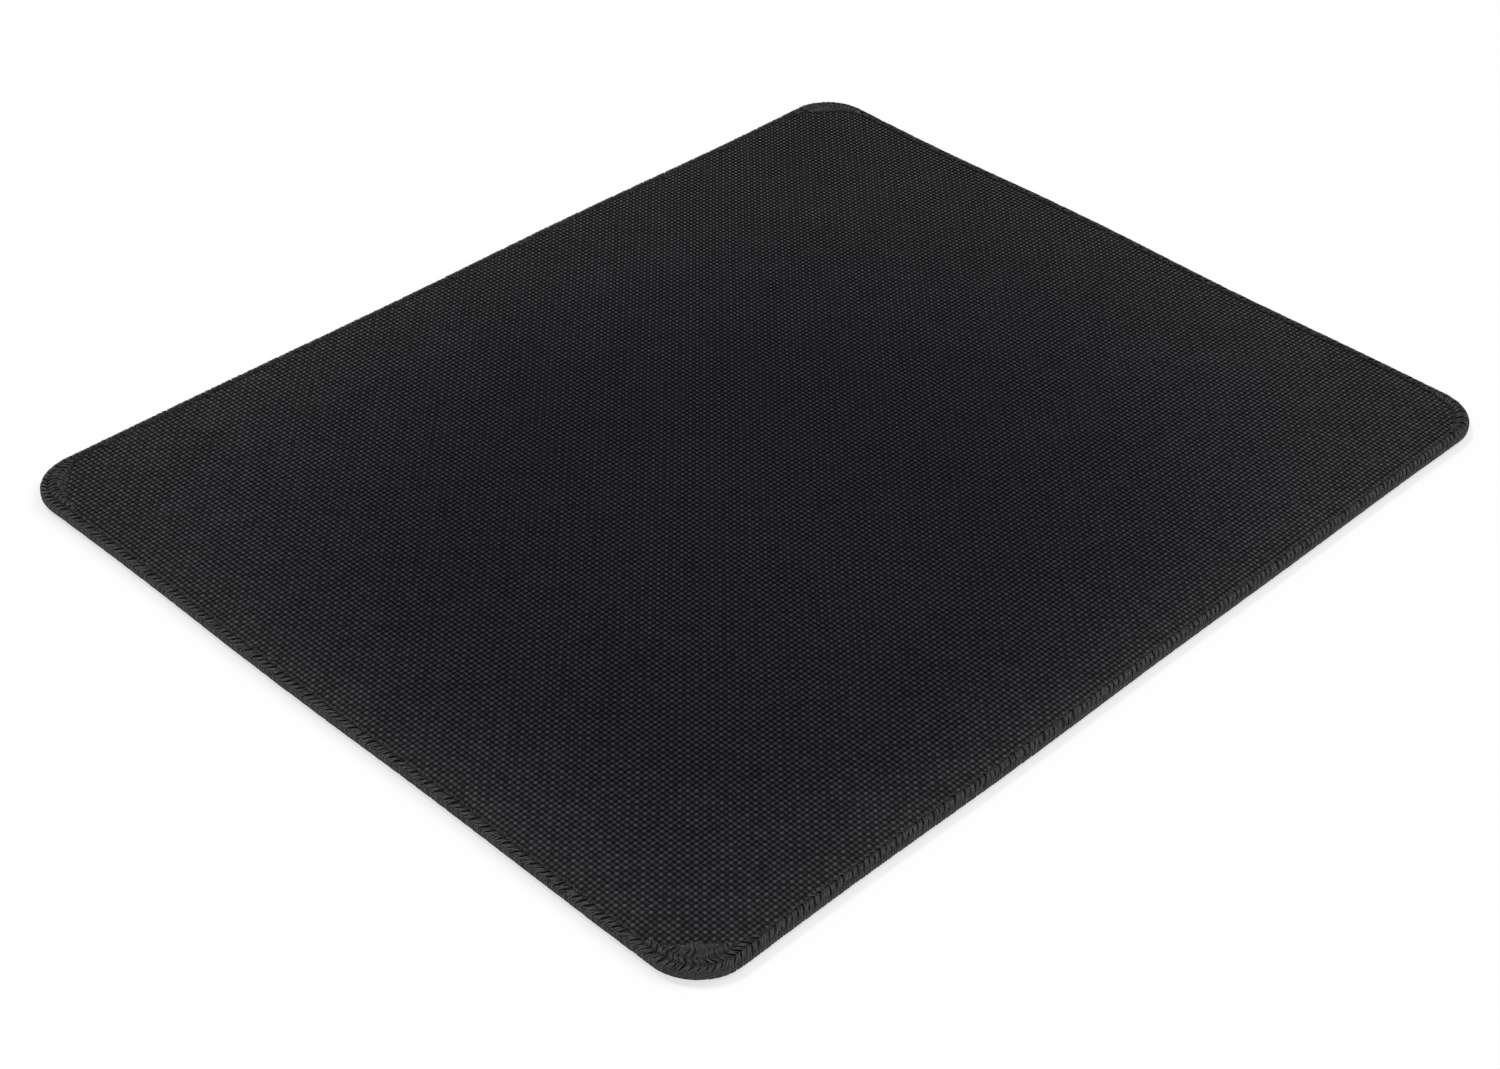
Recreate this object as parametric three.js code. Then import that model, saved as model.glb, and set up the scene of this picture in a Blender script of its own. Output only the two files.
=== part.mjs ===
// Mouse pad with a stitched edge: a woven cloth face bonded by a film to a foam rubber base,
// with the three threads of an overlock seam wrapped round the edge.
// Millimetres, +Z up, the long side along Y. The origin is the middle of the underside.
import * as THREE from 'three';

// Overall size, measured over the stitching
const padLength = 260;
const padWidth = 210;
const cornerRadius = 12;

// Sheets, as thick as they are away from the seam
const foamThickness = 2.3;
const filmThickness = 0.1;
const clothThickness = 0.4;

// Overlock seam. The two looper threads cover both faces from the edge to the needle line, whose
// corners are rounder than the outline's, so that the seam is wider there.
const looperWidth = 2.1;
const needleCornerRadius = 16;
const looperThickness = 0.35;
const needleThreadDiameter = 0.3;
const seamRise = 0.2; // how far the stitching stands above the cloth
const threadClearance = 0.05; // between a thread and whatever lies next to it

// How the seam draws the soft sheets together
const edgeRoundingWidth = 1;
const edgeRoundingHeight = 0.6;
const pinchRampWidth = 1.6;

// Fineness of the curves
const cornerSteps = 12;
const edgeRoundingSteps = 5;
const pinchRampSteps = 4;
const needleThreadSides = 8;

// Heights of the bonded faces above the underside
const filmUnderside = foamThickness;
const clothUnderside = filmUnderside + filmThickness;
const clothTop = clothUnderside + clothThickness;

// The threads lie outside the sheets, so the sheets end short of the outline and sink under the seam.
const threadBuild = looperThickness + threadClearance;
const sheetInset = threadBuild;
const topPinch = threadBuild - seamRise;
const undersidePinch = threadBuild;
const needleInset = looperWidth + threadClearance + needleThreadDiameter / 2;
const seamWidth = needleInset + needleThreadDiameter / 2 + threadClearance;

const finishes = {
  cloth: { color: 0x232226, roughness: 0.9, metalness: 0 },
  film: { color: 0x2b2b2c, roughness: 0.5, metalness: 0 },
  foam: { color: 0x161617, roughness: 0.95, metalness: 0 },
  looperThread: { color: 0x343133, roughness: 0.8, metalness: 0 },
  needleThread: { color: 0x302d2f, roughness: 0.8, metalness: 0 },
};

// Corner radius of the outline at an inset. It stays an even distance inside the outer corner as far as
// the rounded edge goes, and then opens out to the needle line's corner.
function cornerRadiusAt(inset) {
  const edgeEnd = sheetInset + edgeRoundingWidth;
  const share = THREE.MathUtils.clamp((inset - edgeEnd) / (looperWidth - edgeEnd), 0, 1);
  return THREE.MathUtils.lerp(cornerRadius - inset, needleCornerRadius + looperWidth - inset, share);
}

// Outline of the pad moved inwards by an inset, counter-clockwise from the right-hand side
function outlineAt(inset) {
  const cornerSides = [[1, 1], [-1, 1], [-1, -1], [1, -1]];
  const radius = cornerRadiusAt(inset);
  return cornerSides.flatMap(([sideX, sideY], corner) => {
    const centreX = sideX * (padWidth / 2 - inset - radius);
    const centreY = sideY * (padLength / 2 - inset - radius);
    const startAngle = corner * Math.PI / 2;
    const arc = new THREE.EllipseCurve(centreX, centreY, radius, radius, startAngle, startAngle + Math.PI / 2);
    return arc.getPoints(cornerSteps);
  });
}

// Skin over a stack of outlines, one for each station of a section. The section climbs the outside of
// the piece. A ring joins its last station to its first, and a sheet is closed by two flat faces.
function sweepSection(section, isRing) {
  const positions = section.flatMap(({ inset, height }) => (
    outlineAt(inset).flatMap(({ x, y }) => [x, y, height])
  ));
  const outlineCount = outlineAt(0).length;
  const bandCount = isRing ? section.length : section.length - 1;
  const indices = [];
  for (let band = 0; band < bandCount; band += 1) {
    const lower = band * outlineCount;
    const upper = ((band + 1) % section.length) * outlineCount;
    for (let point = 0; point < outlineCount; point += 1) {
      const next = (point + 1) % outlineCount;
      indices.push(lower + point, lower + next, upper + next);
      indices.push(lower + point, upper + next, upper + point);
    }
  }
  if (!isRing) {
    const topStart = (section.length - 1) * outlineCount;
    for (const [a, b, c] of THREE.ShapeUtils.triangulateShape(outlineAt(section.at(-1).inset), [])) {
      indices.push(topStart + a, topStart + b, topStart + c);
    }
    for (const [a, b, c] of THREE.ShapeUtils.triangulateShape(outlineAt(section[0].inset), [])) {
      indices.push(c, b, a);
    }
  }
  const geometry = new THREE.BufferGeometry();
  geometry.setAttribute('position', new THREE.Float32BufferAttribute(positions, 3));
  geometry.setIndex(indices);
  geometry.computeVertexNormals();
  return geometry;
}

// Quarter ellipse round the edge of the sheets, moved outwards by an offset, from the face to the wall.
// Each station has its inset from the outline and its drop below the pinched face.
function edgeRounding(offset) {
  return Array.from({ length: edgeRoundingSteps + 1 }, (_, step) => {
    const angle = (Math.PI / 2) * (step / edgeRoundingSteps);
    return {
      inset: sheetInset + edgeRoundingWidth - (edgeRoundingWidth + offset) * Math.sin(angle),
      drop: edgeRoundingHeight - (edgeRoundingHeight + offset) * Math.cos(angle),
    };
  });
}

// A face of a sheet from its flat middle to its cut edge: a ramp down to the seam, then the rounded edge
function pinchedFace(pinch) {
  const ramp = Array.from({ length: pinchRampSteps + 1 }, (_, step) => {
    const share = step / pinchRampSteps;
    return {
      inset: seamWidth + pinchRampWidth * (1 - share),
      drop: pinch * (1 - Math.cos(Math.PI * share)) / 2,
    };
  });
  const edge = edgeRounding(0).map(({ inset, drop }) => ({ inset, drop: pinch + drop }));
  return [...ramp, ...edge];
}

// Faces that are pressed down from above, and the underside, which is pressed up
function faceFromAbove(height) {
  return pinchedFace(topPinch).map(({ inset, drop }) => ({ inset, height: height - drop }));
}

function faceFromBelow(height) {
  return pinchedFace(undersidePinch).map(({ inset, drop }) => ({ inset, height: height + drop }));
}

function sheetGeometry(lowerFace, upperFace) {
  return sweepSection([...lowerFace, ...upperFace.toReversed()], false);
}

// Section of a looper thread: the band of stitches on one face, bent round the edge as far as the purl,
// where the two loopers hold each other. The outside comes first, from the wall to the needle line.
function looperSection(faceHeight, purlHeight, upwards) {
  const heightAt = (drop) => faceHeight - upwards * drop;
  const outside = edgeRounding(threadBuild).toReversed();
  const inside = edgeRounding(threadClearance);
  return [
    { inset: 0, height: purlHeight },
    ...outside.map(({ inset, drop }) => ({ inset, height: heightAt(drop) })),
    { inset: looperWidth, height: heightAt(-threadBuild) },
    { inset: looperWidth, height: heightAt(-threadClearance) },
    ...inside.map(({ inset, drop }) => ({ inset, height: heightAt(drop) })),
    { inset: sheetInset - threadClearance, height: purlHeight },
  ];
}

// Round section of the needle thread, lying on the cloth beside the upper looper
function needleSection(faceHeight) {
  const radius = needleThreadDiameter / 2;
  const centreHeight = faceHeight + threadClearance + radius;
  return Array.from({ length: needleThreadSides }, (_, side) => {
    const angle = 2 * Math.PI * (side / needleThreadSides);
    return {
      inset: needleInset - radius * Math.cos(angle),
      height: centreHeight + radius * Math.sin(angle),
    };
  });
}

function addPiece(group, name, geometry, finish) {
  const mesh = new THREE.Mesh(geometry, new THREE.MeshStandardMaterial(finish));
  mesh.name = name;
  group.add(mesh);
}

// Bonded sheets, from the desk upwards
function addSheets(group) {
  const foam = sheetGeometry(faceFromBelow(0), faceFromAbove(filmUnderside));
  const film = sheetGeometry(faceFromAbove(filmUnderside), faceFromAbove(clothUnderside));
  const cloth = sheetGeometry(faceFromAbove(clothUnderside), faceFromAbove(clothTop));
  addPiece(group, 'foam_rubber_base', foam, finishes.foam);
  addPiece(group, 'bonding_film', film, finishes.film);
  addPiece(group, 'woven_cloth_face', cloth, finishes.cloth);
}

// Threads of the seam. The loopers meet at the purl, half way up the cut edge.
function addSeam(group) {
  const seamTopFace = clothTop - topPinch;
  const seamUndersideFace = undersidePinch;
  const purlHeight = (seamTopFace + seamUndersideFace) / 2;
  const upper = looperSection(seamTopFace, purlHeight + threadClearance / 2, 1);
  const lower = looperSection(seamUndersideFace, purlHeight - threadClearance / 2, -1).toReversed();
  const needle = needleSection(seamTopFace);
  addPiece(group, 'upper_looper_thread', sweepSection(upper, true), finishes.looperThread);
  addPiece(group, 'lower_looper_thread', sweepSection(lower, true), finishes.looperThread);
  addPiece(group, 'needle_thread', sweepSection(needle, true), finishes.needleThread);
}

const mousePad = new THREE.Group();
addSheets(mousePad);
addSeam(mousePad);

export default mousePad;
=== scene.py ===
# Mouse pad: a woven cloth face on foam rubber, with an overlock seam round the whole edge.
# Blender 4.5, metres, +Z up, the long side along Y, the underside on Z = 0. Lengths named below are in mm.
import math

import bpy
import numpy as np
from mathutils import Matrix, Vector


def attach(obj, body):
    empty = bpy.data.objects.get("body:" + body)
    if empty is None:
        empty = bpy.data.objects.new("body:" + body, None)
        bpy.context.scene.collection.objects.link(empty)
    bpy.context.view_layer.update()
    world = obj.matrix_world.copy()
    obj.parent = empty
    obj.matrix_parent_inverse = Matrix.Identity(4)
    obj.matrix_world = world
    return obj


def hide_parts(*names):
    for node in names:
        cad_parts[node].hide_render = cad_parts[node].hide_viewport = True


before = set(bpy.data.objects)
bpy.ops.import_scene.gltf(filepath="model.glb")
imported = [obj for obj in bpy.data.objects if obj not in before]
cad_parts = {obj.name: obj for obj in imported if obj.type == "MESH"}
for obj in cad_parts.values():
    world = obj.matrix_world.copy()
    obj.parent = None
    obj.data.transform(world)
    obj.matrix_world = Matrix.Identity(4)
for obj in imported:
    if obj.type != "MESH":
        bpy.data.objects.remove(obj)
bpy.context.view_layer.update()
print("frame loaded:", ", ".join(sorted(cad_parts)))

mm = 0.001
chance = np.random.default_rng(42)


# Where the photograph was taken from
photoCamera = {
    "place": (0.335076, -0.369552, 0.360506),
    "heading": -42.796,  # degrees from +Y towards +X
    "tilt": 37.537,  # degrees below the horizon
    "roll": 2.308,
    "lens": 65.417,  # mm, on a 36 mm wide sensor
    "sensor": 36.0,
    "nearest": 0.01,  # metres, where the view begins
}


# Turns the camera up from looking straight down, then to its heading, and rolls it about its own axis.
def addCamera(look):
    camera = bpy.data.objects.new("photoCamera", bpy.data.cameras.new("photoCamera"))
    bpy.context.scene.collection.objects.link(camera)
    heading = Matrix.Rotation(math.radians(-look["heading"]), 4, "Z")
    tilt = Matrix.Rotation(math.radians(90 - look["tilt"]), 4, "X")
    roll = Matrix.Rotation(math.radians(look["roll"]), 4, "Z")
    camera.matrix_world = Matrix.Translation(look["place"]) @ heading @ tilt @ roll
    camera.data.lens = look["lens"]
    camera.data.sensor_width = look["sensor"]
    camera.data.sensor_fit = "HORIZONTAL"
    camera.data.clip_start = look["nearest"]
    bpy.context.scene.camera = camera


addCamera(photoCamera)
print("camera placed")


# Outline of the pad, shared by every piece
padOutline = {
    "length": 260.0,
    "width": 210.0,
    "cornerRadius": 12.0,
    "needleInset": 2.2,  # from the edge to the needle line along the straight sides
    "needleCornerRadius": 16.0,
    # how much of the seam's extra width each corner gets, by the signs of x and y
    "cornerShares": {(1, 1): 0.6, (-1, 1): 1.4, (-1, -1): 1.35, (1, -1): 1.85},
    # hand-guided trimming: amplitudes of 1 to 5 half waves along each side, outwards
    "drift": {
        "right": (0.03, 0.08, -0.07, -0.07, -0.12),
        "back": (0.08, 0.09, -0.28, -0.31, 0.03),
        "left": (0.02, -0.06, -0.08, 0.23, -0.06),
        "front": (0.03, 0.04, -0.13, -0.14, 0.02),
    },
    "driftDepth": (5.0, 22.0),  # the drift is whole up to the first depth and gone at the second
}

padLayers = {
    "top": 2.8,
    "clothUnderside": 2.4,
    "filmUnderside": 2.3,
    "topPinch": 0.2,  # how far the seam presses the face down
    "undersidePinch": 0.4,
    "rampWidth": 1.6,
    "rampStart": 0.2,  # beyond the needle line
    "sheetInset": 0.4,
    "roundingWidth": 1.0,
    "roundingHeight": 0.6,
    "roundingSteps": 6,
    "plainStations": 480,  # points in a ring of a plain sheet
    "freeBefore": 0.6,  # the weave shows from this far outside the needle line
    "freeWidth": 0.8,  # and is whole this much further in
}

# The edge line: four sides and four corners, from the front end of the right-hand side, counter-clockwise
centreX = padOutline["width"] / 2 - padOutline["cornerRadius"]
centreY = padOutline["length"] / 2 - padOutline["cornerRadius"]
quarterTurn = padOutline["cornerRadius"] * math.pi / 2
edgeSteps = np.array([2 * centreY, quarterTurn, 2 * centreX, quarterTurn] * 2)
edgeKnots = np.concatenate([[0.0], np.cumsum(edgeSteps)])
edgeLength = edgeKnots[-1]


# Edge line: x = cx(s) + r cos a(s), y = cy(s) + r sin a(s). The corner centre (cx, cy) slides along a side
# while the angle a stands still, and waits in a corner while a turns by a quarter.
def alongEdge(distance):
    place = np.mod(distance, edgeLength)
    angle = np.interp(place, edgeKnots, np.array([0, 0, 1, 1, 2, 2, 3, 3, 4]) * math.pi / 2)
    x = np.interp(place, edgeKnots, centreX * np.array([1, 1, 1, -1, -1, -1, -1, 1, 1]))
    y = np.interp(place, edgeKnots, centreY * np.array([-1, 1, 1, 1, 1, -1, -1, -1, -1]))
    return x, y, np.cos(angle), np.sin(angle)


# Point at a depth inside the edge line: centre + (r - depth) * normal
def insideEdge(distance, depth):
    x, y, normalX, normalY = alongEdge(distance)
    reach = padOutline["cornerRadius"] - depth
    return x + reach * normalX, y + reach * normalY


# The inverse: how far along the edge line the nearest point of it is, and how deep (x, y) lies inside
def edgePlace(x, y):
    pastX = np.abs(x) - centreX
    pastY = np.abs(y) - centreY
    radius = padOutline["cornerRadius"]
    turn = radius * np.arctan2(np.maximum(pastY, 0), np.maximum(pastX, 1e-9))
    inCorner = (pastX > 0) & (pastY > 0)
    onSideX = pastX >= pastY
    places = [
        (inCorner & (x > 0) & (y > 0), edgeKnots[1] + turn),
        (inCorner & (x <= 0) & (y > 0), edgeKnots[3] + quarterTurn - turn),
        (inCorner & (x <= 0) & (y <= 0), edgeKnots[5] + turn),
        (inCorner, edgeKnots[7] + quarterTurn - turn),
        (onSideX & (x > 0), y + centreY),
        (onSideX, edgeKnots[4] + centreY - y),
        (y > 0, edgeKnots[2] + centreX - x),
    ]
    tests, values = zip(*places)
    distance = np.select(tests, values, edgeKnots[6] + centreX + x)
    depth = radius - np.where(inCorner, np.hypot(pastX, pastY), np.maximum(pastX, pastY))
    return distance, depth


# Depth of the needle line below the edge: where the normal from the edge meets the needle line's own
# rounded rectangle, depth = v.n - sqrt((v.n)^2 - v.v + r^2), with v from that rectangle's corner centre.
def needleDepth(distance):
    x, y = insideEdge(distance, 0)
    _, _, normalX, normalY = alongEdge(distance)
    inset = padOutline["needleInset"]
    radius = padOutline["needleCornerRadius"]
    vX = np.maximum(np.abs(x) - (padOutline["width"] / 2 - inset - radius), 0)
    vY = np.maximum(np.abs(y) - (padOutline["length"] / 2 - inset - radius), 0)
    along = vX * np.abs(normalX) + vY * np.abs(normalY)
    depth = along - np.sqrt(np.maximum(along**2 - vX**2 - vY**2 + radius**2, 0))
    corners = padOutline["cornerShares"]
    tests = [(x * signX > 0) & (y * signY > 0) for signX, signY in corners]
    share = np.select(tests, list(corners.values()), 0.0)
    return inset + (depth - inset) * share


# 0 to 1 with level ends: t^2 (3 - 2t)
def ease(value):
    t = np.clip(value, 0, 1)
    return t * t * (3 - 2 * t)


# Drift of one side at a position along it: sum of a_k sin(k pi u), with u from 0 to 1 between the corners
def sideDrift(side, position, halfLength):
    u = np.clip(position / halfLength / 2 + 0.5, 0, 1)
    return sum(a * np.sin((k + 1) * math.pi * u) for k, a in enumerate(padOutline["drift"][side]))


# Moves points near a side outwards by that side's drift, fading with the depth below the edge
def driftPoints(points):
    near, far = padOutline["driftDepth"]
    x, y = points[:, 0].copy(), points[:, 1].copy()
    halfX, halfY = padOutline["width"] / 2, padOutline["length"] / 2
    for sign, side in ((1, "right"), (-1, "left")):
        points[:, 0] += sign * sideDrift(side, y, centreY) * ease((far - halfX + sign * x) / (far - near))
    for sign, side in ((1, "back"), (-1, "front")):
        points[:, 1] += sign * sideDrift(side, x, centreX) * ease((far - halfY + sign * y) / (far - near))
    return points


# Puts arrays of points in mm and faces into a mesh object that rides on the pad. faces is a list of index
# arrays, one row for each face. places holds a texture place for each point, or for each corner of the faces.
def addPiece(name, points, faces, places, placesName="weave"):
    corners = np.concatenate([face.ravel() for face in faces]).astype(np.int32)
    sizes = np.concatenate([np.full(len(face), face.shape[1]) for face in faces])
    mesh = bpy.data.meshes.new(name)
    mesh.vertices.add(len(points))
    mesh.vertices.foreach_set("co", (driftPoints(points.copy()) * mm).astype(np.float32).ravel())
    mesh.loops.add(len(corners))
    mesh.loops.foreach_set("vertex_index", corners)
    mesh.polygons.add(len(sizes))
    mesh.polygons.foreach_set("loop_start", (np.cumsum(sizes) - sizes).astype(np.int32))
    mesh.update(calc_edges=True)
    mesh.polygons.foreach_set("use_smooth", np.full(len(sizes), True))
    layer = mesh.uv_layers.new(name=placesName)
    perCorner = places[corners] if len(places) == len(points) else places
    layer.data.foreach_set("uv", perCorner.astype(np.float32).ravel())
    mesh.update()
    piece = bpy.data.objects.new(name, mesh)
    bpy.context.scene.collection.objects.link(piece)
    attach(piece, "root")
    return piece


# A number for each point of a piece, for its material
def addValue(piece, name, values):
    layer = piece.data.attributes.new(name, "FLOAT", "POINT")
    layer.data.foreach_set("value", values.astype(np.float32))


# Faces between two rings of as many points, whose numbers start at lower and upper. The faces look
# outwards where the upper ring lies further along the outside of the piece.
def ringFaces(lower, upper, count):
    here = np.arange(count)
    ahead = (here + 1) % count
    return np.stack([lower + here, lower + ahead, upper + ahead, upper + here], axis=1)


# Section of a sheet's face from the edge of its fine middle outwards: level under the seam, then a quarter
# ellipse, depth = d0 - w sin t and height = z0 - h (1 - cos t)
def faceSection(height, pinch, sign):
    layers = padLayers
    turn = np.linspace(0, math.pi / 2, layers["roundingSteps"] + 1)
    depth = layers["sheetInset"] + layers["roundingWidth"] * (1 - np.sin(turn))
    drop = pinch + layers["roundingHeight"] * (1 - np.cos(turn))
    return depth, height - sign * drop


# Level of a pinched face at a depth inside the edge: z0 - pinch (1 - ease), rising beyond the needle line
def pinchedHeight(height, pinch, sign, distance, depth):
    start = needleDepth(distance) + padLayers["rampStart"]
    return height - sign * pinch * (1 - ease((depth - start) / padLayers["rampWidth"]))


# Rings of points along the edge line, one for each pair of depth and height
def sectionRings(distances, depths, heights):
    rings = []
    for depth, height in zip(depths, heights):
        x, y = insideEdge(distances, depth)
        rings.append(np.stack([x, y, np.broadcast_to(height, x.shape)], axis=1))
    return rings


# Plain face of a sheet from its cut edge to its level middle, as rings, outermost first
def plainFace(distances, height, pinch, sign):
    depths, heights = faceSection(height, pinch, sign)
    rings = sectionRings(distances, depths[::-1], heights[::-1])
    for share in (0.0, 0.25, 0.5, 0.75, 1.0):
        depth = needleDepth(distances) + padLayers["rampStart"] + share * padLayers["rampWidth"]
        x, y = insideEdge(distances, depth)
        z = pinchedHeight(height, pinch, sign, distances, depth)
        rings.append(np.stack([x, y, z], axis=1))
    return rings


# Colour only: the cloth is darker and bluer in its middle, lighter and warmer towards the edges
middleTone = {
    "place": (18.0, -28.0),  # centre of the darker middle
    "reach": (78.0, 90.0),
    "strength": 4.0,
    "edgeStart": 2.0,  # the darker middle begins this deep inside the edge
    "edgeReach": 8.0,
}


# How far a point lies from the near corner, at +x and -y, towards the far one: 0 at the near corner and 1 at
# the far one, ease(1/2 + (y - x) / (length + width)). The cloth is painted with a sheen along it.
def farCornerAt(x, y):
    return ease(0.5 + (y - x) / (padOutline["length"] + padOutline["width"]))


# Darker middle: spread = exp(-(dx/rx)^2 - (dy/ry)^2), share = (1 - exp(-k spread)) (1 - exp(-(depth - d0) /
# e))
def middleToneAt(x, y, depth):
    placeX, placeY = middleTone["place"]
    reachX, reachY = middleTone["reach"]
    middleSpread = np.exp(-(((x - placeX) / reachX) ** 2) - ((y - placeY) / reachY) ** 2)
    byEdge = 1 - np.exp(-np.maximum(depth - middleTone["edgeStart"], 0) / middleTone["edgeReach"])
    return (1 - np.exp(-middleTone["strength"] * middleSpread)) * byEdge


# Face with a relief: a square grid of peaks, with a pit in the middle of each cell, cut to whole cells
# that lie deeper than margin. z = face - sign * depth * share at the pits, and every other peak is a step
# lower. Returns the points, the four faces of each cell and the border points in order along the edge.
def reliefFace(grid, height, pinch, sign):
    pitch, margin = grid["pitch"], grid["margin"]
    countX = int((padOutline["width"] / 2 - margin) / pitch)
    countY = int((padOutline["length"] / 2 - margin) / pitch)
    peakX, peakY = np.meshgrid(np.arange(-countX, countX + 1), np.arange(-countY, countY + 1), indexing="ij")
    _, peakDepth = edgePlace(peakX * pitch, peakY * pitch)
    inside = peakDepth >= margin
    whole = inside[:-1, :-1] & inside[1:, :-1] & inside[:-1, 1:] & inside[1:, 1:]
    around = np.zeros(inside.shape, int)
    for shiftX in (0, 1):
        for shiftY in (0, 1):
            around[shiftX : whole.shape[0] + shiftX, shiftY : whole.shape[1] + shiftY] += whole
    used = around > 0
    peakNumber = np.cumsum(used).reshape(used.shape) - 1
    pitNumber = np.cumsum(whole).reshape(whole.shape) - 1 + used.sum()
    flat = [np.stack([peakX[used], peakY[used]], axis=1) * pitch]
    flat.append(np.stack([peakX[:-1, :-1][whole] + 0.5, peakY[:-1, :-1][whole] + 0.5], axis=1) * pitch)
    flat = np.concatenate(flat)
    distance, depth = edgePlace(flat[:, 0], flat[:, 1])
    level = pinchedHeight(height, pinch, sign, distance, depth)
    free = ease((depth - needleDepth(distance)) / padLayers["rampWidth"])
    dip = grid["depth"] * (grid["underSeam"] + (1 - grid["underSeam"]) * free)
    dip[: used.sum()] = (grid["step"] * np.mod(peakX + peakY, 2))[used] * free[: used.sum()]
    points = np.column_stack([flat, level - sign * dip])
    a, b = peakNumber[:-1, :-1][whole], peakNumber[1:, :-1][whole]
    c, d = peakNumber[1:, 1:][whole], peakNumber[:-1, 1:][whole]
    pit = pitNumber[whole]
    faces = np.concatenate([np.stack([p, q, pit], axis=1) for p, q in ((a, b), (b, c), (c, d), (d, a))])
    border = peakNumber[used & (around < 4)]
    order = np.argsort(distance[border])
    return points, faces, border[order], distance[border][order]


# Closed sheet: one face, over its rounded cut edge, and back along the other face, which is always plain and
# pressed down from above. sign is +1 where the first face is the upper one and -1 where it is the underside.
def addSheet(name, faceHeight, facePinch, backHeight, backPinch, sign, relief=None):
    if relief:
        points, cells, border, distances = reliefFace(relief, faceHeight, facePinch, sign)
        rings = sectionRings(distances, *faceSection(faceHeight, facePinch, sign))
        pitch = relief["pitch"]
    else:
        points = np.empty((0, 3))
        distances = np.linspace(0, edgeLength, padLayers["plainStations"], endpoint=False)
        rings = plainFace(distances, faceHeight, facePinch, sign)[::-1]
        pitch = 1.0
    rings += plainFace(distances, backHeight, backPinch, 1)
    count = len(distances)
    here = np.arange(count)
    starts = len(points) + count * np.arange(len(rings))
    faces = [ringFaces(start + count, start, count) for start in starts[:-1]]
    faces.append((starts[-1] + here)[::-1][None])
    if relief:
        ahead = np.roll(here, -1)
        joint = np.stack([starts[0] + here, starts[0] + ahead, border[ahead], border], axis=1)
        faces = [cells, joint] + faces
    else:
        faces.append(here[None])
    if sign < 0:
        faces = [face[:, ::-1] for face in faces]
    points = np.concatenate([points, *rings])
    sheet = addPiece(name, points, faces, points[:, :2] / pitch)
    distance, depth = edgePlace(points[:, 0], points[:, 1])
    beyond = depth - needleDepth(distance) + padLayers["freeBefore"]
    addValue(sheet, "freedom", ease(beyond / padLayers["freeWidth"]))
    addValue(sheet, "middleShare", middleToneAt(points[:, 0], points[:, 1], depth))
    # the way from the near corner to the far one, along which the cloth is painted with a sheen
    addValue(sheet, "farCorner", farCornerAt(points[:, 0], points[:, 1]))
    return sheet


clothWeave = {
    "pitch": 1.15,  # between neighbouring threads
    "depth": 0.2,  # of the pits
    "step": 0.05,  # how much lower every other crown is
    "underSeam": 0.3,  # share of the depth that the seam leaves
    "margin": 1.6,  # between the edge and the relief
}

foamGrip = {
    "pitch": 2.2,
    "depth": 0.14,
    "step": 0.0,
    "underSeam": 0.2,
    "margin": 2.2,
}

clothFace = addSheet(
    "clothFace",
    padLayers["top"],
    padLayers["topPinch"],
    padLayers["clothUnderside"],
    padLayers["topPinch"],
    1,
    clothWeave,
)
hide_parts("woven_cloth_face")
print("cloth face made:", len(clothFace.data.polygons), "faces")

filmLayer = addSheet(
    "filmLayer",
    padLayers["clothUnderside"],
    padLayers["topPinch"],
    padLayers["filmUnderside"],
    padLayers["topPinch"],
    1,
)
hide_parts("bonding_film")

foamBase = addSheet(
    "foamBase",
    0.0,
    padLayers["undersidePinch"],
    padLayers["filmUnderside"],
    padLayers["topPinch"],
    -1,
    foamGrip,
)
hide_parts("foam_rubber_base")
print("film and foam made")


# The three threads of the seam
seamThreads = {
    "pitch": 1.5,  # between stitches along the edge
    "looperSides": 5,
    "wallWide": 0.5,  # half the looper's width where it lies flat on the wall
    "rowWide": 0.23,  # and in the stitch rows on the face
    "thick": 0.15,  # half its thickness
    "wallGap": 0.375,  # half the space between the two legs of a loop, on the wall
    "rowGap": 0.21,  # in the middle of a row
    "rowEndGap": 0.33,  # and where two rows meet
    "rowSlant": 1.45,  # how far a leg moves sideways across one row
    "row": 1.7,  # width of a row
    "rowStart": 0.75,  # from the purl
    "height": 0.21,  # of the looper's middle above the sheets
    "mostLift": 0.245,
    "outerStations": (0.0, 0.4, 0.8, 1.2, 1.6, 2.05),  # of a leg, from the purl
    "innerStations": 8,  # from the top of the first row to the needle line
    "shortest": 0.2,  # what a leg has at least beyond the first row
    "faceStart": 0.5,  # where a leg begins to take the form that it has on the face
    "faceRamp": 0.7,
    "rowRise": 0.05,  # how far a leg rises in the middle of a row, and sinks where rows meet
    "tipRun": -0.12,  # of the turn at the purl
    "tipWide": 0.2,
    "linkPast": 0.12,  # how far the turn at the needle line reaches beyond it
    "linkHeight": 0.08,
    "linkWide": 0.14,
    "rimEnd": 2.8,  # how far the painted light round the edge reaches
    "rimRamp": 1.8,
    "needleRadius": 0.11,
    "needleSides": 6,
    "needleStations": 8,
    "needleRise": 0.2,
    "needleSunk": 0.12,
    "needleSway": 0.02,
    "needleSwayPace": 1.7,
}

# How uneven the looper's stitches are, as standard deviations
seamLooseness = {
    "place": 0.06,  # along the edge
    "swing": 0.15,  # of the slant, as a share
    "height": 0.03,
    "end": 0.16,  # where a leg ends
    "wander": 0.06,  # of each point from its way along the leg
    "wanderRise": 0.4,  # and of its height, as a share of that
    "settled": 3.5,  # a leg shorter than this beyond the first row wanders less there
}

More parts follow.
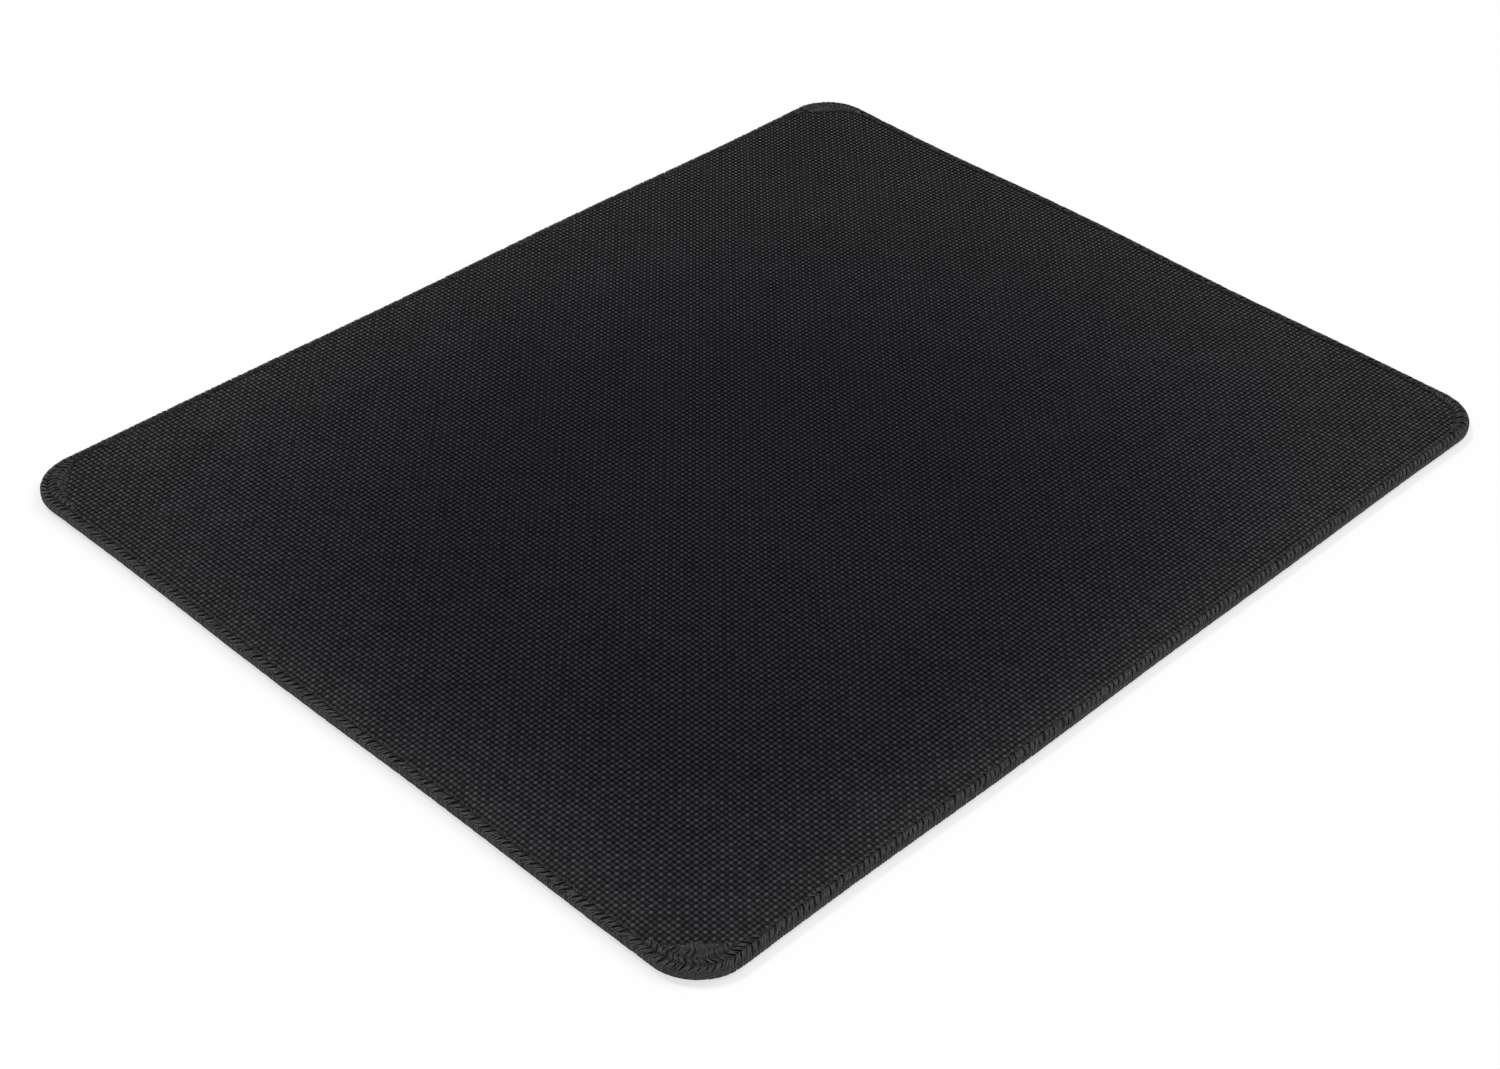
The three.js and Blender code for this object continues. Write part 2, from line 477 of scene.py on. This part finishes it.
purlHeight = 1.5
wallTop = padLayers["top"] - padLayers["topPinch"] - padLayers["roundingHeight"]
wallRun = wallTop - purlHeight
bendWide = padLayers["roundingWidth"] + seamThreads["height"]
bendHigh = padLayers["roundingHeight"] + seamThreads["height"]
bendSpread = (3 * bendWide + bendHigh) * (bendWide + 3 * bendHigh)
bendRun = math.pi / 4 * (3 * (bendWide + bendHigh) - math.sqrt(bendSpread))  # a quarter of an ellipse
bendEnd = padLayers["sheetInset"] + padLayers["roundingWidth"]


# Place on the seam's section: run is the way from the purl up the wall, round the bend and over the face,
# and lift the height above the sheets. Gives points and the direction away from the sheets.
#   wall: depth = inset - lift;  bend: depth = d0 - (w + lift) sin t, z = z0 - h + (h + lift) cos t
def onSeam(distance, run, lift):
    x, y, normalX, normalY = alongEdge(distance)
    turn = np.clip(1 - (run - wallRun) / bendRun, 0, 1) * math.pi / 2
    over = np.maximum(run - wallRun - bendRun, 0)
    below = np.maximum(wallRun - run, 0)
    depth = bendEnd - (padLayers["roundingWidth"] + lift) * np.sin(turn) + over
    z = wallTop - below + (padLayers["roundingHeight"] + lift) * np.cos(turn)
    reach = padOutline["cornerRadius"] - depth
    points = np.stack([x + reach * normalX, y + reach * normalY, z], axis=-1)
    away = np.stack([np.sin(turn) * normalX, np.sin(turn) * normalY, np.cos(turn)], axis=-1)
    return points, away


# Flattened tube round a closed line of points: point + wide cos a * side + thick sin a * up, where side is
# tangent x away. Also gives a texture place for each corner of each face: the way along, and the turn round.
def tubeAround(line, away, wide, thick, sides):
    tangent = np.roll(line, -1, axis=0) - np.roll(line, 1, axis=0)
    side = np.cross(tangent, away)
    side /= np.linalg.norm(side, axis=1, keepdims=True)
    up = np.cross(side, tangent)
    up /= np.linalg.norm(up, axis=1, keepdims=True)
    angle = np.arange(sides) * 2 * math.pi / sides
    across = np.cos(angle)[None, :] * np.broadcast_to(wide, len(line))[:, None]
    rise = np.sin(angle)[None, :] * np.broadcast_to(thick, len(line))[:, None]
    points = line[:, None] + across[..., None] * side[:, None] + rise[..., None] * up[:, None]
    here, turn = np.meshgrid(np.arange(len(line)), np.arange(sides), indexing="ij")
    ahead = (here + 1) % len(line)
    turned = (turn + 1) % sides
    corners = [here * sides + turn, ahead * sides + turn, ahead * sides + turned, here * sides + turned]
    faces = np.stack(corners, axis=-1)
    step = np.linalg.norm(np.roll(line, -1, axis=0) - line, axis=1)
    way = np.concatenate([[0.0], np.cumsum(step)])
    start, end = way[here], way[here + 1]
    low, high = turn / sides, (turn + 1) / sides
    places = np.stack([start, low, end, low, end, high, start, high], axis=-1)
    return points.reshape(-1, 3), faces.reshape(-1, 4), places.reshape(-1, 2)


# Run of the needle line on the seam's section
def needleRun(distance):
    return wallRun + bendRun + needleDepth(distance) - bendEnd


# Looper thread: for each stitch a leg from the needle line out to the purl, a turn, and a leg back.
# On the face the legs zigzag, up one row and down the next: shift = slant (1 - |1 - rows mod 2|), with rows
# the way from the first row in widths of a row. Of the values for the material, rim is 1 round the edge and
# 0 on the face, and marks where light is painted on, and crown is 1 in the middle of a row and 0 at its ends,
# and places the painted highlights and shade of the rows.
def looperLine(offset):
    threads = seamThreads
    loose = seamLooseness
    stitches = round(edgeLength / threads["pitch"])
    first = (np.arange(stitches) + offset) * edgeLength / stitches
    first += chance.normal(0, loose["place"], stitches)
    swing = chance.normal(1, loose["swing"], stitches)[:, None]
    lifted = chance.normal(0, loose["height"], stitches)[:, None]
    apex = threads["rowStart"] + threads["row"]
    full = needleRun(first) + chance.normal(0, loose["end"], stitches)
    full = np.maximum(full, apex + threads["shortest"])
    outer = np.array(threads["outerStations"])
    inner = apex + np.linspace(0, 1, threads["innerStations"]) * (full - apex)[:, None]
    run = np.concatenate([np.broadcast_to(outer, (stitches, len(outer))), inner], axis=1)
    rows = np.maximum(run - threads["rowStart"], 0) / threads["row"]
    shift = swing * threads["rowSlant"] * (1 - np.abs(1 - np.mod(rows, 2)))
    middle = np.sin(math.pi * np.mod(rows, 1)) ** 2  # 1 in the middle of a row, 0 where rows meet
    onFace = ease((run - threads["faceStart"]) / threads["faceRamp"])
    rowGap = threads["rowEndGap"] + (threads["rowGap"] - threads["rowEndGap"]) * middle
    gap = threads["wallGap"] + (rowGap - threads["wallGap"]) * onFace
    wide = threads["wallWide"] + (threads["rowWide"] - threads["wallWide"]) * onFace
    crown = 0.5 + (middle - 0.5) * onFace
    rise = threads["rowRise"] * (middle - (1 - middle) * onFace)
    lift = threads["height"] + lifted * onFace + rise
    lift[:, -1] -= threads["rowRise"]
    wander = loose["wander"] * onFace
    wander[:, len(outer) :] *= np.minimum(1, (full - apex)[:, None] / loose["settled"])
    gap += wander * chance.normal(0, 1, gap.shape)
    shift += wander * chance.normal(0, 1, gap.shape)
    lift += loose["wanderRise"] * wander * chance.normal(0, 1, gap.shape)
    lift = np.minimum(lift, threads["mostLift"])
    back = first[:, None] + shift + gap
    out = (first[:, None] + shift - gap)[:, ::-1]
    nextOut = np.roll(out[:, :1], -1, axis=0)
    nextOut[-1] += edgeLength
    link = back[:, -1:] + (nextOut - back[:, -1:]) * np.array([0.3, 0.7])
    distance = np.concatenate([out, first[:, None], back, link], axis=1)

    # Values of a whole stitch from those of a leg: out, the turn at the purl, back, and the turn further in
    def stitch(leg, tip, linked):
        tipColumn = np.full((stitches, 1), tip)
        linkColumns = np.broadcast_to(linked, (stitches, 2))
        return np.concatenate([leg[:, ::-1], tipColumn, leg, linkColumns], axis=1).ravel()

    run = stitch(run, threads["tipRun"], full[:, None] + threads["linkPast"])
    lift = stitch(lift, threads["height"], threads["linkHeight"])
    wide = stitch(wide, threads["tipWide"], threads["linkWide"])
    line, away = onSeam(distance.ravel(), run, lift)
    rim = ease((threads["rimEnd"] - run) / threads["rimRamp"])
    return line, away, wide, {"rim": rim, "crown": stitch(crown, 0.5, 0.0)}


# The lower looper is the upper one seen from below: z becomes thickness - z
def addLooper(name, offset, upwards):
    line, away, wide, values = looperLine(offset)
    if not upwards:
        line[:, 2] = 2 * purlHeight - line[:, 2]
        away[:, 2] *= -1
    points, faces, places = tubeAround(line, away, wide, seamThreads["thick"], seamThreads["looperSides"])
    looper = addPiece(name, points, [faces], places, "thread")
    for value, along in values.items():
        addValue(looper, value, np.repeat(along, seamThreads["looperSides"]))
    return looper


upperLooper = addLooper("upperLooper", 0.0, True)
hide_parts("upper_looper_thread")

lowerLooper = addLooper("lowerLooper", 0.5, False)
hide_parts("lower_looper_thread")


# Needle thread: one stitch after another along the needle line, each an arch between two holes,
# lift = high sqrt(sin(pi f)) - sunk
def addNeedleThread(name):
    threads = seamThreads
    stitches = round(edgeLength / threads["pitch"])
    stations = threads["needleStations"]
    share = np.tile(np.arange(stations) / stations, stitches)
    distance = (np.repeat(np.arange(stitches), stations) + share) * edgeLength / stitches
    lift = threads["needleRise"] * np.sqrt(np.sin(math.pi * share)) - threads["needleSunk"]
    run = needleRun(distance) + threads["needleSway"] * np.sin(distance * threads["needleSwayPace"])
    line, away = onSeam(distance, run, lift)
    radius = threads["needleRadius"]
    points, faces, places = tubeAround(line, away, radius, radius, threads["needleSides"])
    return addPiece(name, points, [faces], places, "thread")


needleThread = addNeedleThread("needleThread")
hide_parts("needle_thread")
print("seam threads made:", len(upperLooper.data.polygons), "faces each")


# One socket of a material. Arithmetic on it adds the Math nodes that it needs.
class Tap:
    def __init__(self, finish, socket):
        self.finish = finish
        self.socket = socket

    def also(self, output):  # another output of the same node
        return Tap(self.finish, self.socket.node.outputs[output])

    def math(self, operation, first, second=0.0):
        return self.finish.node("Math", {"operation": operation}, {0: first, 1: second})

    def __add__(self, other):
        return self.math("ADD", self, other)

    def __radd__(self, other):
        return self.math("ADD", other, self)

    def __sub__(self, other):
        return self.math("SUBTRACT", self, other)

    def __rsub__(self, other):
        return self.math("SUBTRACT", other, self)

    def __mul__(self, other):
        return self.math("MULTIPLY", self, other)

    def __rmul__(self, other):
        return self.math("MULTIPLY", other, self)

    def __pow__(self, other):
        return self.math("POWER", self, other)

    def atLeast(self, other):
        return self.math("MAXIMUM", self, other)

    def wave(self):  # cosine, 1 at 0
        return self.math("COSINE", self)

    def fold(self, span):  # up and down between 0 and span
        return self.math("PINGPONG", self, span)

    def above(self, other):
        return self.math("GREATER_THAN", self, other)


# The nodes of a material, or of the world
class Finish:
    def __init__(self, owner):
        owner.use_nodes = True
        self.owner = owner
        self.tree = owner.node_tree
        self.tree.nodes.clear()

    # Any node: its type, its settings, which are set first, and the values or links of its sockets
    def node(self, kind, settings=None, values=None, output=0):
        node = self.tree.nodes.new("ShaderNode" + kind)
        for key, value in (settings or {}).items():
            setattr(node, key, value)
        for key, value in (values or {}).items():
            if isinstance(value, Tap):
                self.tree.links.new(value.socket, node.inputs[key])
            else:
                node.inputs[key].default_value = value
        return Tap(self, node.outputs[output]) if node.outputs else None

    def mixColours(self, factor, first, second):
        return self.node("Mix", {"data_type": "RGBA"}, {0: factor, 6: first, 7: second}, output=2)

    def place(self):  # metres, in the object's own axes
        return self.node("TexCoord", output="Object")

    def texturePlace(self, name):
        return self.node("UVMap", {"uv_map": name})

    def pieceValue(self, name):  # one that addValue gave the piece
        return self.node("Attribute", {"attribute_name": name}, output="Fac")

    def firstOf(self, vector):  # X of a vector, or red of a colour. also("Y") gives the next one.
        return self.node("SeparateXYZ", {}, {"Vector": vector}, output="X")

    def scaled(self, vector, scale):  # vector times a constant scale
        return self.node("Mapping", {"vector_type": "POINT"}, {"Vector": vector, "Scale": scale})

    def noise(self, vector, scale, detail=2.0, roughness=0.5):
        values = {"Vector": vector, "Scale": scale, "Detail": detail, "Roughness": roughness}
        return self.node("TexNoise", {}, values)

    # 1 for a ray that shows the background: straight from the camera, or by way of a gloss or glass
    def seenRay(self):
        ray = self.node("LightPath", output="Is Camera Ray")
        return ray.atLeast(ray.also("Is Glossy Ray")).atLeast(ray.also("Is Transmission Ray"))

    # Surface with its constants on the shader's own sockets, and what varies linked in
    def surface(self, constants, colour, roughness, height, bumpDistance, bumpStrength):
        bump = self.node("Bump", {}, {"Height": height, "Distance": bumpDistance, "Strength": bumpStrength})
        values = dict(constants)
        values.update({"Base Color": colour, "Roughness": roughness, "Normal": bump})
        shader = self.node("BsdfPrincipled", {}, values)
        self.node("OutputMaterial", {}, {"Surface": shader})
        return self.owner


clothLook = {
    "middle": (0.0415, 0.0392, 0.053, 1),
    "border": (0.091, 0.0855, 0.0925, 1),
    # gap: painted shade in the pits between the threads
    "gap": (0.0006, 0.0006, 0.0008, 1),
    "sway": 0.35,  # how far the threads stray from their grid, in threads
    "swayScale": 70.0,
    "beadPower": 1.9,  # how small the crowns are
    "crisp": 3.0,  # added to beadPower towards the far corner
    "warpPaintedSheen": 0.3,  # painted sheen: how much lighter the warp's crowns are painted than the mean, and the weft's darker
    "farCornerWarpSheen": 0.2,  # added to the warp's painted sheen towards the far corner
    "farCornerPaintedSheen": 1.6,  # painted sheen: how much lighter the crowns are painted towards the far corner, which also keeps the cloth as light where they get smaller
    "crownLeast": 0.2,  # share of a crown's colour that doesn't depend on its height; the remainder is painted shade, darker on the lower parts
    "underSeam": 0.2,  # share of the colour where the threads shade the flattened weave
    "veil": 0.3,  # how much the nap hides the weave towards the near corners, outside the darker middle
    "veilShare": 0.33,  # and its own share of the colour
    "grain": (0.58, 0.6, 0.25),  # the shade: all over, from crossing to crossing, and along the fibres
    "mottle": (0.62, 0.46, 0.3),  # all over, in small clouds, and in broad ones
    "middleToneTint": (1.2, 0.2),  # how much of the middle's colour the darker middle gives, and how much the clouds take
    "roughness": (0.97, 0.1),  # in the gaps, and how much less on a crown
    "relief": 0.2,  # mm
    "crossing": 0.5,  # how much higher the thread on top is than the one beneath
    "fibreRelief": 0.25,
    "reliefUnderSeam": 0.3,
}


# Plain weave in thread units (u, v): warp = ridge(u) + c cos(pi u) cos(pi v), weft = ridge(v) - the same,
# ridge(t) = 1 - 4 d^2 with d the distance to the nearest whole number. The higher one shows, and the colour
# is strongest on its crown, (1/2 + (cos(2 pi u) + cos(2 pi v)) / 4)^power, and falls to near black in the
# pits, a painted shade. It is stronger on the warp's crowns than on the weft's by paintedSheen cos(pi u)
# cos(pi v), a painted sheen, and the crowns are painted lighter towards the far corner, also a painted sheen.
# A veil of nap mixes this with an even shade.
def makeClothFinish(look):
    finish = Finish(bpy.data.materials.new("wovenCloth"))
    weave = finish.texturePlace("weave")
    place = finish.place()
    freedom = finish.pieceValue("freedom")
    middleShare = finish.pieceValue("middleShare")
    farCorner = finish.pieceValue("farCorner")
    sway = finish.firstOf(finish.noise(place, look["swayScale"], 1.0).also("Color"))
    grid = finish.firstOf(weave)
    u = grid + (sway - 0.5) * look["sway"]
    v = grid.also("Y") + (sway.also("Y") - 0.5) * look["sway"]
    fromU = u.fold(0.5)
    fromV = v.fold(0.5)
    checker = (u * math.pi).wave() * (v * math.pi).wave()
    parity = checker * look["crossing"]
    warp = 1 - fromU * fromU * 4 + parity
    weft = 1 - fromV * fromV * 4 - parity
    height = warp.atLeast(weft)
    warpOnTop = warp.above(weft)
    fibreAlongV = finish.noise(finish.scaled(weave, (14, 1.6, 1)), 1.0, 2.0)
    fibreAlongU = finish.noise(finish.scaled(weave, (1.6, 14, 1)), 1.0, 2.0)
    fibre = warpOnTop * fibreAlongV + (1 - warpOnTop) * fibreAlongU
    cell = finish.node("CombineXYZ", {}, {"X": u.math("ROUND", u), "Y": v.math("ROUND", v)})
    knot = finish.node("TexWhiteNoise", {"noise_dimensions": "2D"}, {"Vector": cell})
    cloud = finish.noise(place, 160.0, 3.0, 0.6)
    broad = finish.noise(place, 22.0, 2.0, 0.5)
    # Painted shade: the colour is strongest on the crowns and falls towards the gap colour in the pits and
    # low parts
    bead = 0.5 + 0.25 * ((u * (2 * math.pi)).wave() + (v * (2 * math.pi)).wave())
    bead = bead ** (look["beadPower"] + farCorner * look["crisp"])
    byHeight = (1 - look["crownLeast"]) / (1 + look["crossing"]) * height.atLeast(0.0)
    # Painted sheen: the crowns are painted lighter towards the far corner
    crown = bead * (look["crownLeast"] + byHeight) * (1 + look["farCornerPaintedSheen"] * farCorner)
    # Painted sheen: warp crowns painted lighter and weft crowns darker, more so towards the far corner
    paintedSheen = look["warpPaintedSheen"] + farCorner * look["farCornerWarpSheen"]
    veil = (1 - middleShare) * (1 - farCorner * farCorner) * look["veil"]
    clear = crown * (1 + paintedSheen * checker) * (1 - veil) + veil * look["veilShare"]
    evenGrain, knotGrain, fibreGrain = look["grain"]
    evenMottle, cloudMottle, broadMottle = look["mottle"]
    level = evenGrain + knotGrain * knot + fibreGrain * fibre
    level = level * (evenMottle + cloudMottle * cloud + broadMottle * broad)
    share = (clear * freedom + look["underSeam"] * (1 - freedom)) * level
    middleShareGives, cloudTakes = look["middleToneTint"]
    # Darker and bluer in the middle, lighter and warmer towards the edges
    tint = (middleShare * middleShareGives - cloudTakes * cloud).atLeast(0.0)
    thread = finish.mixColours(tint, look["border"], look["middle"])
    # The gap colour is painted shade in the pits between the threads
    colour = finish.mixColours(share, look["gap"], thread)
    roughest, smoother = look["roughness"]
    kept = look["reliefUnderSeam"] + (1 - look["reliefUnderSeam"]) * freedom
    relief = (height + look["fibreRelief"] * fibre) * kept
    constants = {"Specular IOR Level": 0.03, "Sheen Weight": 0.03, "Sheen Roughness": 0.5}
    return finish.surface(constants, colour, roughest - smoother * crown, relief, look["relief"] * mm, 1.0)


threadLook = {
    "looper": (0.0475, 0.044, 0.0455),
    "needle": (0.052, 0.0485, 0.0505),
    "darkest": 0.25,  # shares of that colour in the painted shade between the strands and on the lightest fibres
    "lightest": 1.5,
    "level": 0.6,  # how far the thread goes from the darkest to the lightest
    "turns": 1.6,  # of the strands, in each mm
    "strands": 3,
    "grain": (0.15, 0.35, 0.75),  # the shade: all over, along the strands, which is painted shade in the grooves between them, and from fibre to fibre
    "clouds": (0.75, 0.5),  # all over, and in clouds
    "tufts": (0.2, 1.6),  # all over, and from tuft to tuft
    "rimPaintedLight": 1.1,  # painted light: how much lighter the outer edge and its fuzz are painted
    "dash": 1.3,  # painted highlight and shade: how much lighter a leg is painted in the middle of a row, where it rises, than at its ends, where it dips
    "patch": 1.6,  # how much the shade changes from one leg to the next
    "patchScale": 0.4,  # changes in each mm of thread
    "relief": 0.04,  # mm
}


# Spun thread: strands wind round it, strand = (1 + cos(2 pi (turns * way + strands * angle))) / 2. The
# grooves between the strands are painted darker, a painted shade.
def makeThreadFinish(name, tone, look):
    finish = Finish(bpy.data.materials.new(name))
    place = finish.place()
    rim = finish.pieceValue("rim")
    crown = finish.pieceValue("crown")
    way = finish.firstOf(finish.texturePlace("thread"))
    angle = way.also("Y")
    strand = ((way * look["turns"] + angle * look["strands"]) * (2 * math.pi)).wave() * 0.5 + 0.5
    fuzz = finish.noise(place, 2800.0, 2.0)
    cloud = finish.noise(place, 120.0, 2.0)
    tuft = finish.noise(place, 800.0, 1.0)
    patchValues = {"W": way * look["patchScale"], "Scale": 1.0, "Detail": 0.0}
    patch = finish.node("TexNoise", {"noise_dimensions": "1D"}, patchValues)
    evenGrain, strandGrain, fuzzGrain = look["grain"]
    share = evenGrain + strandGrain * strand + fuzzGrain * fuzz
    share = share * (look["clouds"][0] + look["clouds"][1] * cloud)
    share = share * (look["tufts"][0] + look["tufts"][1] * tuft)
    # Painted light round the outer edge; the patch term is a shade that changes at random from leg to leg
    share = share * (1 + look["rimPaintedLight"] * rim) * (1 + look["patch"] * (patch - 0.5))
    # Painted highlight in the middle of each row and painted shade where the rows meet
    share = share * (1 + look["dash"] * (crown - 0.5))
    dark, light = (tuple(part * look[end] for part in tone) + (1,) for end in ("darkest", "lightest"))
    colour = finish.mixColours(share * look["level"], dark, light)
    roughness = 0.85 - 0.15 * strand
    relief = strand + 0.5 * fuzz
    constants = {"Specular IOR Level": 0.06, "Sheen Weight": 0.15, "Sheen Roughness": 0.4}
    return finish.surface(constants, colour, roughness, relief, look["relief"] * mm, 0.7)


foamLook = {
    "rubber": (0.005, 0.005, 0.0055, 1),
    "worn": (0.032, 0.032, 0.033, 1),  # on the lands of the grip, which rub on the desk
    "wornShare": (0.75, 0.4, -0.2),  # of the lands, of the clouds, and all over
    "relief": 0.14,  # mm
    "cellRelief": 0.12,
}


# Foam rubber with a moulded grip of shallow dimples: dimple = 1/2 + (cos(2 pi u) + cos(2 pi v)) / 4
def makeFoamFinish(look):
    finish = Finish(bpy.data.materials.new("foamRubber"))
    place = finish.place()
    u = finish.firstOf(finish.texturePlace("weave"))
    v = u.also("Y")
    dimple = ((u * (2 * math.pi)).wave() + (v * (2 * math.pi)).wave()) * 0.25 + 0.5
    cells = finish.node("TexVoronoi", {}, {"Vector": place, "Scale": 4500.0})
    cloud = finish.noise(place, 60.0, 3.0)
    landShare, cloudShare, evenShare = look["wornShare"]
    share = dimple * landShare + cloud * cloudShare + evenShare
    colour = finish.mixColours(share, look["rubber"], look["worn"])
    roughness = 0.8 + 0.15 * cloud
    relief = dimple + look["cellRelief"] * cells
    return finish.surface({"Specular IOR Level": 0.12}, colour, roughness, relief, look["relief"] * mm, 1.0)


filmLook = {
    "tone": (0.022, 0.022, 0.023, 1),
    "haze": (0.03, 0.03, 0.031, 1),
}


# Hot-melt film: smooth, with a slow unevenness from the rollers
def makeFilmFinish(look):
    finish = Finish(bpy.data.materials.new("bondingFilm"))
    place = finish.place()
    flow = finish.noise(finish.scaled(place, (1, 0.15, 1)), 90.0, 2.0)
    colour = finish.mixColours(flow, look["tone"], look["haze"])
    return finish.surface({"Coat Roughness": 0.3}, colour, 0.35 + 0.25 * flow, flow, 0.02 * mm, 0.5)


looperFinish = makeThreadFinish("looperThread", threadLook["looper"], threadLook)
needleFinish = makeThreadFinish("needleThreadFinish", threadLook["needle"], threadLook)
for piece, material in (
    (clothFace, makeClothFinish(clothLook)),
    (filmLayer, makeFilmFinish(filmLook)),
    (foamBase, makeFoamFinish(foamLook)),
    (upperLooper, looperFinish),
    (lowerLooper, looperFinish),
    (needleThread, needleFinish),
):
    piece.data.materials.append(material)
print("materials made")


studio = {
    "floorHalf": 4.0,  # metres
    "paper": (0.9, 0.9, 0.9, 1),  # what lights the pad from below
    "shadowShare": 0.33,  # how much of the floor's look comes from the light on it
    "worldStrength": 0.42,
    # where each sun shines from, how much of a plain level of light it gives, and its width in degrees
    "lamps": {
        "behind": {"from": (0.1, 0.85, 1.0), "share": 0.26, "wide": 34.0},
        "beside": {"from": (-0.75, 0.1, 1.0), "share": 0.32, "wide": 12.0},
    },
}


# White paper. The camera sees it mixed from a plain white and the light that falls on it, so that the pad's
# shadow stays faint: seen = (1 - k) white + k lit.
def addFloor(look):
    half = look["floorHalf"]
    mesh = bpy.data.meshes.new("floor")
    corners = [(-half, -half, 0), (half, -half, 0), (half, half, 0), (-half, half, 0)]
    mesh.from_pydata(corners, [], [(0, 1, 2, 3)])
    floor = bpy.data.objects.new("floor", mesh)
    bpy.context.scene.collection.objects.link(floor)
    finish = Finish(bpy.data.materials.new("floorPaper"))
    seen = finish.seenRay()
    paper = finish.node("BsdfDiffuse", {}, {"Color": look["paper"]})
    whitePaper = finish.node("BsdfDiffuse", {}, {"Color": (1, 1, 1, 1)})
    glow = finish.node("Emission", {}, {"Color": (1, 1, 1, 1), "Strength": 1.0})
    shown = finish.node("MixShader", {}, {0: look["shadowShare"], 1: glow, 2: whitePaper})
    both = finish.node("MixShader", {}, {0: seen, 1: paper, 2: shown})
    finish.node("OutputMaterial", {}, {"Surface": both})
    mesh.materials.append(finish.owner)


# White surroundings, which light the pad less than they show, and suns that stand for soft lamps.
# A sun's strength on the floor is energy * cos(its angle from the vertical) / pi.
def addLight(look):
    sky = Finish(bpy.data.worlds.new("studioWorld"))
    bpy.context.scene.world = sky.owner
    shade = sky.node("Background", {}, {"Color": (1, 1, 1, 1), "Strength": look["worldStrength"]})
    white = sky.node("Background", {}, {"Color": (1, 1, 1, 1), "Strength": 1.0})
    both = sky.node("MixShader", {}, {0: sky.seenRay(), 1: shade, 2: white})
    sky.node("OutputWorld", {}, {"Surface": both})
    for name, lampLook in look["lamps"].items():
        lamp = bpy.data.lights.new(name, "SUN")
        toLamp = Vector(lampLook["from"]).normalized()
        lamp.energy = lampLook["share"] * math.pi / toLamp.z
        lamp.angle = math.radians(lampLook["wide"])
        lampObject = bpy.data.objects.new(name, lamp)
        bpy.context.scene.collection.objects.link(lampObject)
        lampObject.location = toLamp
        lampObject.rotation_euler = toLamp.to_track_quat("Z", "Y").to_euler()


addFloor(studio)
addLight(studio)
bpy.context.scene.view_settings.view_transform = "Standard"
print("floor and light placed")
